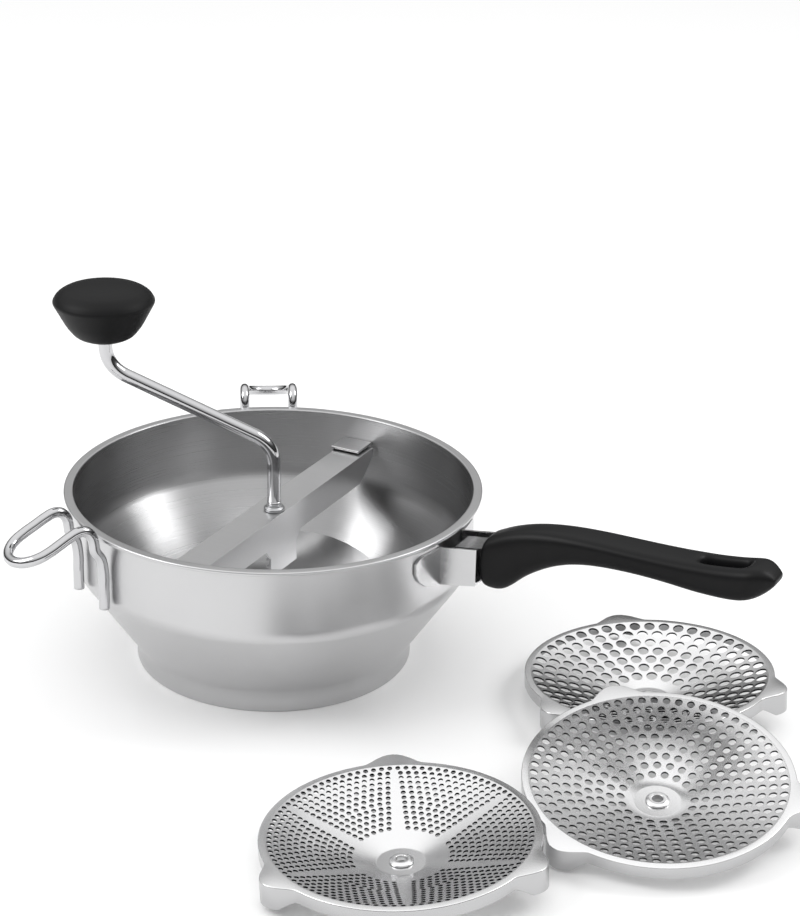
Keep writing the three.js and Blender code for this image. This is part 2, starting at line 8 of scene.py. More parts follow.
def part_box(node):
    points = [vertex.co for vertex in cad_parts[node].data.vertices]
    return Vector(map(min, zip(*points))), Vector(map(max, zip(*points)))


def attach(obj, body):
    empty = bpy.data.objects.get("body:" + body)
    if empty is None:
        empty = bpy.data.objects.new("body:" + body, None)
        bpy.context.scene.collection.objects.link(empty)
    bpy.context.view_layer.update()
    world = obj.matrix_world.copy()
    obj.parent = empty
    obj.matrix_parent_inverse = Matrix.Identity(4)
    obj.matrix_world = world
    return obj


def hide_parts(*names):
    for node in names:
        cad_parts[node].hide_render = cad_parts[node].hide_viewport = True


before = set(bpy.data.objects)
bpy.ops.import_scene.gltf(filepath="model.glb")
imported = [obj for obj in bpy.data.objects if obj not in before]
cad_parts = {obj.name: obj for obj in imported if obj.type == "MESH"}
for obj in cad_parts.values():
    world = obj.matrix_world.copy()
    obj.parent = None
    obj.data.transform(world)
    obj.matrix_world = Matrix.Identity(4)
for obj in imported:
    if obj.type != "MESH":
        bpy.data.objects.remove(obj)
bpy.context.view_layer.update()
print("frame loaded:", len(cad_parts), "nodes")

mm = 0.001
objectOutput = 3  # which socket of Texture Coordinate gives Object coordinates
bowlLow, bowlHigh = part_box("bowl")
axis = Vector(((bowlLow[0] + bowlHigh[0]) / 2, (bowlLow[1] + bowlHigh[1]) / 2, 0))
crankTurn = math.radians(212)  # from the handle to the crank arm


class Signal:
    # wraps one socket, so that shader maths reads as sums

    def __init__(self, tree, socket=None):
        self.tree = tree
        self.socket = socket

    def make(self, kind, settings=None, sockets=None, output=0):
        # any node: its settings first, then values or links for its sockets
        node = self.tree.nodes.new(kind)
        for name, value in (settings or {}).items():
            if name == "stops":
                ramp = node.color_ramp
                while len(ramp.elements) < len(value):
                    ramp.elements.new(0.5)
                for element, (place, tone) in zip(ramp.elements, value):
                    element.position = place
                    element.color = (tone, tone, tone, 1)
            else:
                setattr(node, name, value)
        for name, value in (sockets or {}).items():
            if isinstance(value, Signal):
                self.tree.links.new(value.socket, node.inputs[name])
            else:
                node.inputs[name].default_value = value
        return Signal(self.tree, node.outputs[output])

    def sums(self, operation, first, second):
        return self.make("ShaderNodeMath", {"operation": operation}, {0: first, 1: second})

    def __add__(self, other):
        return self.sums("ADD", self, other)

    def __sub__(self, other):
        return self.sums("SUBTRACT", self, other)

    def __rsub__(self, other):
        return self.sums("SUBTRACT", other, self)

    def __mul__(self, other):
        return self.sums("MULTIPLY", self, other)

    __radd__ = __add__
    __rmul__ = __mul__


def newFinish(name):
    finish = bpy.data.materials.new(name)
    finish.use_nodes = True
    tree = finish.node_tree
    shader = tree.nodes["Principled BSDF"]
    return finish, Signal(tree), shader


def plug(start, shader, links):
    for name, value in links.items():
        if isinstance(value, Signal):
            start.tree.links.new(value.socket, shader.inputs[name])
        else:
            shader.inputs[name].default_value = value


def centredPlace(start, centre):
    # object coordinates measured from a point
    place = start.make("ShaderNodeTexCoord", output=objectOutput)
    shift = [-v for v in centre]
    return start.make("ShaderNodeMapping", {"vector_type": "POINT"}, {"Vector": place, "Location": shift})


def greyMix(start, amount, dark, light):
    return start.make(
        "ShaderNodeMix",
        {"data_type": "RGBA"},
        {"Factor": amount, 6: (*dark, 1), 7: (*light, 1)},
        output=2,
    )


def speckle(start, place, scale, detail=4.0, rough=0.55):
    sockets = {"Vector": place, "Scale": scale, "Detail": detail, "Roughness": rough}
    return start.make("ShaderNodeTexNoise", {"noise_dimensions": "3D"}, sockets)


def stripes(start, along, scale, detail):
    # noise that changes in one direction only
    sockets = {"W": along, "Scale": scale, "Detail": detail}
    return start.make("ShaderNodeTexNoise", {"noise_dimensions": "1D"}, sockets)


def bumpFrom(start, height, strength, depth):
    return start.make("ShaderNodeBump", sockets={"Strength": strength, "Distance": depth, "Height": height})


def shades(tone, darker, lighter):
    # a darker and a lighter shade of one colour
    return tuple(v * darker for v in tone), tuple(min(1.0, v * lighter) for v in tone)


spun = {
    "rings": 1500,  # turning rings to a metre
    "waves": 120,
    "depth": 0.00009,
    "rough": 0.3,
    "stretch": 0.85,
    # both tones sit below the outside's tone: painted shade inside the bowl
    "dark": (0.36, 0.36, 0.364),
    "light": (0.53, 0.53, 0.535),
}


def spunShadedSteel():
    # inside of the bowl: fine turning rings, so light smears across them; its tone is set darker than the
    # outside of the same sheet, as painted shade inside the bowl
    finish, start, shader = newFinish("spunShadedSteel")
    place = centredPlace(start, axis)
    split = start.make("ShaderNodeSeparateXYZ", sockets={"Vector": place})
    height = Signal(start.tree, split.socket.node.outputs[2])
    length = start.make("ShaderNodeVectorMath", {"operation": "LENGTH"}, {0: place}, output=1)
    along = height + length * 0.6
    rings = stripes(start, along, spun["rings"], 3.0)
    waves = stripes(start, along, spun["waves"], 2.0)
    cloud = speckle(start, place, 14.0)
    plug(
        start,
        shader,
        {
            "Base Color": greyMix(start, rings * 0.5 + cloud * 0.5, spun["dark"], spun["light"]),
            "Metallic": 1.0,
            "Roughness": spun["rough"] + (rings - 0.5) * 0.14 + (cloud - 0.5) * 0.08,
            "Anisotropic": spun["stretch"],
            "Anisotropic Rotation": 0.25,
            "Normal": bumpFrom(start, rings + waves * 0.5, 0.5, spun["depth"]),
        },
    )
    return finish


def polishedSteel(name, tone, rough, ripple):
    # bright pressed steel with a faint ripple and fine handling marks
    finish, start, shader = newFinish(name)
    place = start.make("ShaderNodeTexCoord", output=objectOutput)
    cloud = speckle(start, place, 9.0, 3.0)
    fine = speckle(start, place, 420.0, 5.0, 0.7)
    worn = speckle(start, place, 55.0, 6.0, 0.7)
    plug(
        start,
        shader,
        {
            "Base Color": greyMix(start, cloud * 0.6 + worn * 0.4, *shades(tone, 0.92, 1.08)),
            "Metallic": 1.0,
            "Roughness": rough + (worn - 0.5) * 0.1 + (fine - 0.5) * 0.05,
            "Normal": bumpFrom(start, cloud + fine * 0.02, 0.35, ripple),
        },
    )
    return finish


def satinSteel(name, tone, rough, turn):
    # flat sheet, rubbed along its length
    finish, start, shader = newFinish(name)
    place = centredPlace(start, axis)
    stretched = {"Vector": place, "Rotation": (0, 0, -turn), "Scale": (18, 900, 900)}
    along = start.make("ShaderNodeMapping", {"vector_type": "POINT"}, stretched)
    grain = speckle(start, along, 1.0, 4.0, 0.65)
    cloud = speckle(start, place, 30.0)
    plug(
        start,
        shader,
        {
            "Base Color": greyMix(start, grain * 0.6 + cloud * 0.4, *shades(tone, 0.9, 1.07)),
            "Metallic": 1.0,
            "Roughness": rough + (grain - 0.5) * 0.16 + (cloud - 0.5) * 0.06,
            "Normal": bumpFrom(start, grain, 0.35, 0.00006),
        },
    )
    return finish


plastic = {"dark": (0.003, 0.003, 0.0033), "light": (0.006, 0.006, 0.0065), "gloss": 0.19, "depth": 0.00008}


def blackPlastic(name, rough):
    # moulded plastic: fine spark-eroded grain, a little dulled where hands rub it
    finish, start, shader = newFinish(name)
    place = start.make("ShaderNodeTexCoord", output=objectOutput)
    grain = speckle(start, place, 1500.0, 2.0)
    cloud = speckle(start, place, 24.0, 4.0)
    plug(
        start,
        shader,
        {
            "Base Color": greyMix(start, cloud, plastic["dark"], plastic["light"]),
            "Roughness": rough + (cloud - 0.5) * 0.12 + (grain - 0.5) * 0.06,
            "Specular IOR Level": plastic["gloss"],
            "Normal": bumpFrom(start, grain, 0.22, plastic["depth"]),
        },
    )
    return finish


shadedBowlInside = spunShadedSteel()
bowlOutside = polishedSteel("bowlPolish", (0.57, 0.57, 0.575), 0.34, 0.0002)
discSteel = polishedSteel("discSteel", (0.78, 0.78, 0.785), 0.25, 0.0002)
# a darker copy of the disc steel for the turned-down skirt: painted shade
skirtShadeSteel = polishedSteel("skirtShadeSteel", (0.5, 0.5, 0.505), 0.24, 0.0002)
# near-black steel for the hole walls and sheet edges: painted shade in the punched holes
paintedHoleShade = polishedSteel("paintedHoleShade", (0.02, 0.02, 0.021), 0.5, 0.0001)
wireSteel = polishedSteel("wireSteel", (0.54, 0.54, 0.55), 0.07, 0.0001)
hardwareSteel = polishedSteel("hardwareSteel", (0.5, 0.505, 0.515), 0.32, 0.0001)
barSteel = satinSteel("barSteel", (0.64, 0.64, 0.645), 0.32, math.radians(92))
sheetSteel = satinSteel("sheetSteel", (0.56, 0.56, 0.565), 0.22, 0.0)
gripPlastic = blackPlastic("gripPlastic", 0.42)
knobPlastic = blackPlastic("knobPlastic", 0.52)
print("finishes made")


def finishPiece(name, bm, finishes, body, nodes, weighted=True):
    bmesh.ops.remove_doubles(bm, verts=bm.verts, dist=2e-6)
    bmesh.ops.recalc_face_normals(bm, faces=bm.faces)
    mesh = bpy.data.meshes.new(name)
    bm.to_mesh(mesh)
    bm.free()
    for finish in finishes:
        mesh.materials.append(finish)
    mesh.shade_smooth()
    piece = bpy.data.objects.new(name, mesh)
    bpy.context.scene.collection.objects.link(piece)
    if weighted:
        normals = piece.modifiers.new("normals", "WEIGHTED_NORMAL")
        normals.keep_sharp = True
    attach(piece, body)
    if nodes:
        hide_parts(*nodes)
    return piece


def roundedOutline(corners, steps=5):
    # [radius, height, rounding] corners in mm, each turned into a short arc
    outline = []
    count = len(corners)
    for i, (r, z, rounding) in enumerate(corners):
        here = Vector((r, z))
        if rounding <= 0:
            outline.append(here)
            continue
        before = Vector(corners[i - 1][:2]) - here
        after = Vector(corners[(i + 1) % count][:2]) - here
        cut = min(rounding, before.length * 0.45, after.length * 0.45)
        first = here + before.normalized() * cut
        last = here + after.normalized() * cut
        for k in range(steps + 1):
            t = k / steps
            outline.append(first * (1 - t) ** 2 + here * 2 * t * (1 - t) + last * t**2)
    return outline


def spinOutline(bm, outline, steps, centre=(0, 0), closed=True):
    # turns an outline of (radius, height) points in mm all the way round
    ring = [bm.verts.new((centre[0] + p[0] * mm, centre[1], p[1] * mm)) for p in outline]
    edges = [bm.edges.new(pair) for pair in zip(ring, ring[1:])]
    if closed:
        edges.append(bm.edges.new((ring[-1], ring[0])))
    bmesh.ops.spin(
        bm,
        geom=ring + edges,
        cent=(centre[0], centre[1], 0),
        axis=(0, 0, 1),
        angle=math.tau,
        steps=steps,
        use_merge=True,
    )


def turnedPiece(name, corners, steps, centre, finish, body, nodes, closed=True, move=None):
    bm = bmesh.new()
    spinOutline(bm, roundedOutline(corners), steps, centre, closed)
    if move:
        bmesh.ops.transform(bm, matrix=move, verts=bm.verts)
    return finishPiece(name, bm, [finish], body, nodes)


def wireInto(bm, points, radius, smooth=False):
    # round wire through points, from a bevelled curve turned into mesh
    curve = bpy.data.curves.new("wire", "CURVE")
    curve.dimensions = "3D"
    curve.bevel_depth = radius
    curve.bevel_resolution = 5
    curve.resolution_u = 10
    curve.use_fill_caps = True
    spline = curve.splines.new("BEZIER" if smooth else "POLY")
    if smooth:
        spline.bezier_points.add(len(points) - 1)
        for knot, point in zip(spline.bezier_points, points):
            knot.co = point
            knot.handle_left_type = "AUTO"
            knot.handle_right_type = "AUTO"
    else:
        spline.points.add(len(points) - 1)
        for knot, point in zip(spline.points, points):
            knot.co = (*point, 1)
    holder = bpy.data.objects.new("wire", curve)
    bpy.context.scene.collection.objects.link(holder)
    bpy.context.view_layer.update()
    mesh = bpy.data.meshes.new_from_object(holder.evaluated_get(bpy.context.evaluated_depsgraph_get()))
    bm.from_mesh(mesh)
    bpy.data.objects.remove(holder)
    bpy.data.curves.remove(curve)
    bpy.data.meshes.remove(mesh)


def aroundBowl(turn, r, side, z):
    # a point at a distance out, to the side and up, seen from the bowl's axis
    out = Vector((math.cos(turn), math.sin(turn), 0))
    across = Vector((-out.y, out.x, 0))
    return axis + (out * r + across * side) * mm + Vector((0, 0, z * mm))


def refinedNode(name, node, width, finish, body):
    # the CAD sheet with its doubles merged and its edges broken
    bm = bmesh.new()
    bm.from_mesh(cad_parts[node].data)
    bmesh.ops.remove_doubles(bm, verts=bm.verts, dist=2e-5)
    bmesh.ops.dissolve_limit(bm, angle_limit=math.radians(1), verts=bm.verts, edges=bm.edges)
    sharp = [e for e in bm.edges if len(e.link_faces) == 2 and e.calc_face_angle(0) > math.radians(35)]
    bmesh.ops.bevel(
        bm,
        geom=sharp,
        offset=width * mm,
        affect="EDGES",
        segments=2,
        profile=0.5,
        material=-1,
        clamp_overlap=True,
    )
    return finishPiece(name, bm, [finish], body, [node])


# bowl
bowlShape = {
    "steps": 160,
    "corners": [
        (79.3, 0, 0.4),
        (80.5, 0, 0.4),
        (80.5, 10.7, 7),
        (115.5, 62.7, 5),
        (115.5, 102.7, 0.6),
        (120, 102.7, 1.1),
        (120, 105, 1.1),
        (114.3, 105, 1.2),
        (114.3, 63.2, 5),
        (79.3, 11.2, 7),
    ],
    "ringInside": 79.3,
    "lugWidth": 16,
    "lugReach": 4,
    "lugHeight": 9.2,
}

bm = bmesh.new()
spinOutline(bm, roundedOutline(bowlShape["corners"], 7), bowlShape["steps"], axis)
for k in range(3):
    turn = math.radians(60 + 120 * k)
    middle = bowlShape["ringInside"] - bowlShape["lugReach"] / 2
    place = Matrix.Translation(aroundBowl(turn, middle, 0, bowlShape["lugHeight"]))
    size = Matrix.Diagonal((bowlShape["lugReach"] * mm + 0.0008, bowlShape["lugWidth"] * mm, 0.0012, 1))
    bmesh.ops.create_cube(bm, size=1, matrix=place @ Matrix.Rotation(turn, 4, "Z") @ size)
bowlPiece = finishPiece("bowlBody", bm, [bowlOutside, shadedBowlInside], "bowl_body", ["bowl"])
# faces turned towards the axis take the inside finish, darker than the outside of the same sheet: painted
# shade
for face in bowlPiece.data.polygons:
    out = Vector((face.center.x - axis.x, face.center.y - axis.y, 0)).normalized()
    if face.normal.dot(out) < -0.4 and face.center.z > 0.002:
        face.material_index = 1
print("bowl made")


# crossbar, catches, handle bracket and tang
refinedNode("crossbarSheet", "crossbar", 0.45, barSteel, "bridge")
refinedNode("catchFarPlate", "catch_far", 0.3, barSteel, "bowl_body")
refinedNode("catchNearPlate", "catch_near", 0.3, barSteel, "bowl_body")
refinedNode("bracketChannel", "handle_bracket", 0.35, sheetSteel, "bowl_body")
refinedNode("tangChannel", "handle_tang", 0.3, sheetSteel, "bowl_body")
refinedNode("bladeSheet", "blade", 0.35, barSteel, "crank")
print("sheet pieces made")


# crank
crankShape = {
    "rod": 4,
    "shoulder": 92,
    "elbow": 128.7,
    "reach": 94,
    "upper": 176.3,
    "end": 205.8,
    "bend": 13,
    "neckCorners": [
        (0.01, 6, 0),
        (3, 6, 0.6),
        (3, 91, 0.2),
        (3.7, 91.2, 0.4),
        (4.02, 92.6, 0.2),
        (4.02, 94, 0),
        (0.01, 94, 0),
    ],
}


def crankPoints():
    elbow = Vector((0, crankShape["elbow"]))
    upper = Vector((crankShape["reach"], crankShape["upper"]))
    slope = (upper - elbow).normalized()
    lift = Vector((0, 1))
    flat = [Vector((0, crankShape["shoulder"]))]
    for corner, before, after in ((elbow, lift, slope), (upper, slope, lift)):
        first = corner - before * crankShape["bend"]
        last = corner + after * crankShape["bend"]
        for k in range(17):
            t = k / 16
            flat.append(first * (1 - t) ** 2 + corner * 2 * t * (1 - t) + last * t**2)
    flat.append(Vector((crankShape["reach"], crankShape["end"])))
    return [aroundBowl(crankTurn, p.x, 0, p.y) for p in flat]


bm = bmesh.new()
wireInto(bm, crankPoints(), crankShape["rod"] * mm)
spinOutline(bm, roundedOutline(crankShape["neckCorners"], 3), 40, axis)
finishPiece("crankRod", bm, [wireSteel], "crank", ["crank_rod"])

knobAxis = aroundBowl(crankTurn, crankShape["reach"], 0, 0)
knobCorners = [
    (4.3, 193, 0.4),
    (11.4, 193, 1.2),
    (16.6, 195.3, 2.4),
    (21.3, 201.2, 4),
    (25.4, 209, 4),
    (28.6, 214.9, 1.3),
    (26.6, 218.5, 2.6),
    (22.6, 221.2, 2.6),
    (16.4, 223, 3),
    (8, 223.8, 3),
    (0.01, 224, 0),
    (0.01, 211, 0),
    (7.2, 211, 0.4),
    (7.2, 201, 0.4),
    (4.3, 201, 0.4),
]
turnedPiece("knobBody", knobCorners, 96, knobAxis, knobPlastic, "knob", ["crank_knob"])


# small turned pieces on the shaft
turnedPiece(
    "shaftBush",
    [
        (3.3, 85, 0.2),
        (4.6, 85, 0.3),
        (4.6, 88.3, 0),
        (6, 88.3, 0.3),
        (6, 89.8, 0.6),
        (4.6, 90.6, 0.5),
        (4.6, 91.6, 0.3),
        (3.3, 91.6, 0.2),
    ],
    48,
    axis,
    hardwareSteel,
    "bridge",
    ["shaft_bush"],
)
turnedPiece(
    "bladeHub",
    [(3.3, 13, 0.3), (6.5, 13, 0.7), (6.5, 46, 0.7), (3.3, 46, 0.3)],
    48,
    axis,
    barSteel,
    "crank",
    ["blade_hub"],
)
for name, node, low, high, outer in (
    ("washerTop", "spring_washer_top", 83.2, 84.4, 4.6),
    ("washerFoot", "spring_washer_foot", 46.3, 47.5, 6),
):
    corners = [(3.3, low, 0.2), (outer, low, 0.3), (outer, high, 0.3), (3.3, high, 0.2)]
    turnedPiece(name, corners, 40, axis, hardwareSteel, "crank", [node])
turnedPiece(
    "knobRing",
    [(4.3, 201.4, 0.2), (6.4, 201.4, 0.3), (6.4, 203.2, 0.3), (4.3, 203.2, 0.2)],
    40,
    knobAxis,
    hardwareSteel,
    "crank",
    ["knob_retainer"],
)

coil = {"radius": 4.1, "wire": 0.55, "turns": 7, "steps": 24, "foot": 48.9, "rise": 32.4}
coilPoints = []
for k in range(coil["turns"] * coil["steps"] + 1):
    done = k / (coil["turns"] * coil["steps"])
    height = coil["foot"] + coil["rise"] * done
    coilPoints.append(aroundBowl(k / coil["steps"] * math.tau, coil["radius"], 0, height))
bm = bmesh.new()
wireInto(bm, coilPoints, coil["wire"] * mm)
finishPiece("springCoil", bm, [hardwareSteel], "crank", ["spring"], False)

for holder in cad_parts["blade_pin"].material_slots:
    holder.material = hardwareSteel
print("crank made")


# handle grip
gripShape = {
    "halfWidth": 10.6,
    "endHalfWidth": 13,
    # across and up, as parts of the half width and half height
    "section": [
        (0.3, 1),
        (0.74, 0.96),
        (0.99, 0.6),
        (1.0, 0),
        (0.98, -0.6),
        (0.74, -0.96),
        (0.3, -1),
        (-0.3, -1),
        (-0.74, -0.96),
        (-0.98, -0.6),
        (-1.0, 0),
        (-0.99, 0.6),
        (-0.74, 0.96),
        (-0.3, 1),
    ],
    # along the handle, upper edge, lower edge
    "stations": [
        (138.3, 102.2, 81.2),
        (139.0, 104.4, 79.2),
        (140.6, 106.8, 77.2),
        (144.5, 108.8, 76.6),
        (150.5, 111.9, 77.0),
        (156.5, 114.2, 81.4),
        (163, 116.2, 88.0),
        (170, 117.8, 92.9),
        (178, 119.1, 97.8),
        (187, 120, 101.8),
        (197, 120.6, 104.6),
        (208.5, 120.9, 106.3),
        (222, 121, 107.1),
        (237, 121.2, 107.2),
        (250, 121.7, 106.5),
        (257, 122.2, 105.9),
        (262.6, 122.6, 105.6),
        (268, 123, 105.5),
        (275, 123.8, 105.5),
        (282, 124.8, 105.9),
        (287.4, 125.8, 106.7),
        (292, 126.9, 108.4),
        (296.6, 127.2, 111),
        (300.6, 125.4, 114.4),
        (303.4, 123.0, 117.6),
        (304.6, 121.6, 119.8),
    ],
    "slot": (262.6, 287.4),
}


def gripPiece():
    bm = bmesh.new()
    rings = []
    first = gripShape["stations"][0][0]
    last = gripShape["stations"][-1][0]
    for x, top, foot in gripShape["stations"]:
        t = (x - first) / (last - first)
        width = gripShape["halfWidth"] + (gripShape["endHalfWidth"] - gripShape["halfWidth"]) * t
        width *= min(1.0, math.sqrt((last + 2.4 - x) / 13))
        ring = []
        for across, up in gripShape["section"]:
            z = (top + foot) / 2 + (top - foot) / 2 * up
            ring.append(bm.verts.new(aroundBowl(0, x, width * across, z)))
        rings.append(ring)
    hoops = [[bm.edges.new((r[k], r[(k + 1) % len(r)])) for k in range(len(r))] for r in rings]
    for one, two in zip(hoops, hoops[1:]):
        bmesh.ops.bridge_loops(bm, edges=one + two)
    bmesh.ops.contextual_create(bm, geom=hoops[0])
    bmesh.ops.contextual_create(bm, geom=hoops[-1])
    bmesh.ops.recalc_face_normals(bm, faces=bm.faces)
    # the hang hole: faces off above and below, and walls between
    low, high = (axis.x + v * mm for v in gripShape["slot"])
    gone = []
    for face in bm.faces:
        centre = face.calc_center_median()
        if low < centre.x < high and abs(centre.y - axis.y) < 0.001 and abs(face.normal.z) > 0.8:
            gone.append(face)
    bmesh.ops.delete(bm, geom=gone, context="FACES")
    rim = [e for e in bm.edges if len(e.link_faces) == 1]
    bmesh.ops.bridge_loops(bm, edges=rim)
    piece = finishPiece("gripBody", bm, [gripPlastic], "bowl_body", ["handle_grip"], False)
    smooth = piece.modifiers.new("smooth", "SUBSURF")
    smooth.levels = 3
    smooth.render_levels = 3
    return piece


gripPiece()
turnedPiece(
    "gripScrew",
    [
        (0.01, 79.2, 0),
        (3.1, 79.2, 0.4),
        (3.6, 80, 0.3),
        (3.6, 81.6, 0.1),
        (2, 81.6, 0.1),
        (2, 104, 0.2),
        (0.01, 104, 0),
    ],
    40,
    aroundBowl(0, 150, 0, 0),
    hardwareSteel,
    "bowl_body",
    ["handle_screw"],
)
print("handle made")


# wire rests
restShape = {
    "wire": 3,
    "side": 15,
    "loop": 151,
    "leg": [
        (118.9, 63),
        (118.9, 74),
        (118.9, 86),
        (120.4, 93.5),
        (123.4, 98.6),
        (124, 103),
        (125, 107.2),
        (128.4, 111.2),
        (133, 112),
        (137.5, 110.6),
        (144, 107.6),
    ],
}


def restPiece(name, degrees, node):
    turn = math.radians(degrees)
    side = restShape["side"]
    points = [aroundBowl(turn, r, -side, z) for r, z in restShape["leg"]]
    for k in range(9):
        angle = math.radians(-90 + k * 22.5)
        out = side * math.cos(angle)
        points.append(aroundBowl(turn, restShape["loop"] + out, side * math.sin(angle), 104.4 - 0.42 * out))
    points += [aroundBowl(turn, r, side, z) for r, z in reversed(restShape["leg"])]
    bm = bmesh.new()
    wireInto(bm, points, restShape["wire"] * mm, True)
    return finishPiece(name, bm, [wireSteel], "bowl_body", [node])


restPiece("restLeftWire", 244, "rest_left")
restPiece("restBackWire", 123.5, "rest_back")
print("rests made")


# sieve discs
discShape = {
    "radius": 70.5,
    "rim": 67,
    "hub": 12.6,
    "depth": 17,
    "sheet": 1,
    "skirt": 7,
    "bore": 4.7,
    "earReach": 79,
    "earSpread": 12.5,
    "earDrop": 12.5,
    "rimCorners": [
        (66.9, 0, 0),
        (70.5, 0, 0.6),
        (70.5, -7, 0.3),
        (69.5, -7, 0.3),
        (69.5, -1, 0.2),
        (66.9, -1, 0),
    ],
    "eyeletCorners": [
        (2.9, -18.1, 0.2),
        (4.3, -18.1, 0.2),
        (4.3, -16.7, 0),
        (6.2, -16.7, 0.2),
        (6.2, -15.9, 0.4),
        (4.6, -15.1, 0.5),
        (2.9, -15.1, 0.5),
    ],
    # hole radius, distances of the first and last rings of holes, and where each disc lies
    "sizes": {
        "fine": {
            "hole": 1.3,
            "first": 25.5,
            "last": 64.9,
            "rings": 13,
            "pitch": 4.25,
            "spoke": 5.4,
            "place": (177.1, -166.4, 18.95),
            "lean": 183,
            "tilt": 3.5,
            "turn": 2,
        },
        "medium": {
            "hole": 2.1,
            "first": 19,
            "last": 64,
            "rings": 9,
            "pitch": 6.6,
            "spoke": 0,
            "place": (269.6, -59.7, 24.7),
            "lean": 282,
            "tilt": 8.8,
            "turn": 12,
        },
        "coarse": {
            "hole": 3.15,
            "first": 22,
            "last": 63,
            "rings": 7,
            "pitch": 8.6,
            "spoke": 0,
            "place": (216.9, 53, 19.1),
            "lean": 162,
            "tilt": 4,
            "turn": 7,
        },
    },
}


def dishHeight(r):
    # height of the sheet's upper face below the rim, at a distance from the disc's axis, all in mm
    if r >= discShape["rim"]:
        return 0.0
    if r <= discShape["hub"]:
        return -discShape["depth"]
    return -discShape["depth"] * (discShape["rim"] - r) / (discShape["rim"] - discShape["hub"])


def holeCells(bm, r, half, hole, start, step, count):
    # one hole with its square of sheet, repeated along an arc
    centre = Vector((r, 0, 0))
    made = bmesh.ops.create_circle(bm, segments=16, radius=hole, matrix=Matrix.Translation(centre))
    inner = made["verts"]
    rim = list({e for v in inner for e in v.link_edges})
    grown = bmesh.ops.extrude_edge_only(bm, edges=rim)["geom"]
    outer = [g for g in grown if isinstance(g, bmesh.types.BMVert)]
    for v in outer:
        away = (v.co - centre) / hole
        reach = max(abs(away.x), abs(away.y))
        turn = away.y / reach * step / 2
        distance = r + away.x / reach * half
        v.co = Vector((distance * math.cos(turn), distance * math.sin(turn), 0))
    faces = list({f for v in inner for f in v.link_faces})
    around = Matrix.Rotation(start + step / 2, 3, "Z")
    bmesh.ops.rotate(bm, cent=(0, 0, 0), matrix=around, verts=inner + outer)
    if count > 1:
        geom = list({*inner, *outer, *(e for v in inner + outer for e in v.link_edges), *faces})
        bmesh.ops.spin(
            bm,
            geom=geom,
            cent=(0, 0, 0),
            axis=(0, 0, 1),
            angle=step * (count - 1),
            steps=count - 1,
            use_duplicate=True,
        )


def plainArc(bm, low, high, start, sweep, steps):
    # plain sheet between two distances along an arc
    first = bm.verts.new((low * math.cos(start), low * math.sin(start), 0))
    second = bm.verts.new((high * math.cos(start), high * math.sin(start), 0))
    edge = bm.edges.new((first, second))
    bmesh.ops.spin(
        bm,
        geom=[first, second, edge],
        cent=(0, 0, 0),
        axis=(0, 0, 1),
        angle=sweep,
        steps=steps,
        use_merge=abs(sweep - math.tau) < 1e-6,
    )


def sieveSheet(bm, size):
    rings = size["rings"]
    half = (size["last"] - size["first"]) / (rings - 1) / 2
    for k in range(rings):
        r = size["first"] + 2 * half * k
        if size["spoke"] and k < rings - 1:
            wide = size["spoke"] * (1 - 0.6 * k / (rings - 1)) / r
            sweep = math.tau / 6 - wide
            count = max(2, round(sweep * r / size["pitch"]))
            for sector in range(6):
                start = math.tau / 6 * sector + wide / 2
                holeCells(bm, r, half, size["hole"], start, sweep / count, count)
                plainArc(bm, r - half, r + half, start - wide, wide, 3)
        else:
            count = round(math.tau * r / size["pitch"])
            holeCells(bm, r, half, size["hole"], 0, math.tau / count, count)
    low = size["first"] - half
    high = size["last"] + half
    marks = [discShape["bore"], 8, discShape["hub"] - 0.6, discShape["hub"], discShape["hub"] + 0.6]
    while marks[-1] < low - 3:
        marks.append(marks[-1] + 2.6)
    marks[-1] = low
    for a, b in zip(marks, marks[1:]):
        plainArc(bm, a, b, 0, math.tau, 120)
    for a, b in ((high, discShape["rim"] - 0.4), (discShape["rim"] - 0.4, discShape["rim"])):
        plainArc(bm, a, b, 0, math.tau, 120)
    bmesh.ops.remove_doubles(bm, verts=bm.verts, dist=0.002)
    for v in bm.verts:
        v.co.z = dishHeight(math.hypot(v.co.x, v.co.y))
    bmesh.ops.recalc_face_normals(bm, faces=bm.faces)
    if sum(f.normal.z for f in bm.faces) < 0:
        bmesh.ops.reverse_faces(bm, faces=bm.faces)
    thick = bmesh.ops.extrude_face_region(bm, geom=bm.faces[:])["geom"]
    under = [g for g in thick if isinstance(g, bmesh.types.BMVert)]
    bmesh.ops.translate(bm, verts=under, vec=(0, 0, -discShape["sheet"]))
    bm.normal_update()
    for face in bm.faces:
        # upright faces (hole walls and sheet edges) take the near-black finish: painted shade in the holes
        if abs(face.normal.z) < 0.5:
            face.material_index = 1  # the walls of the punched holes


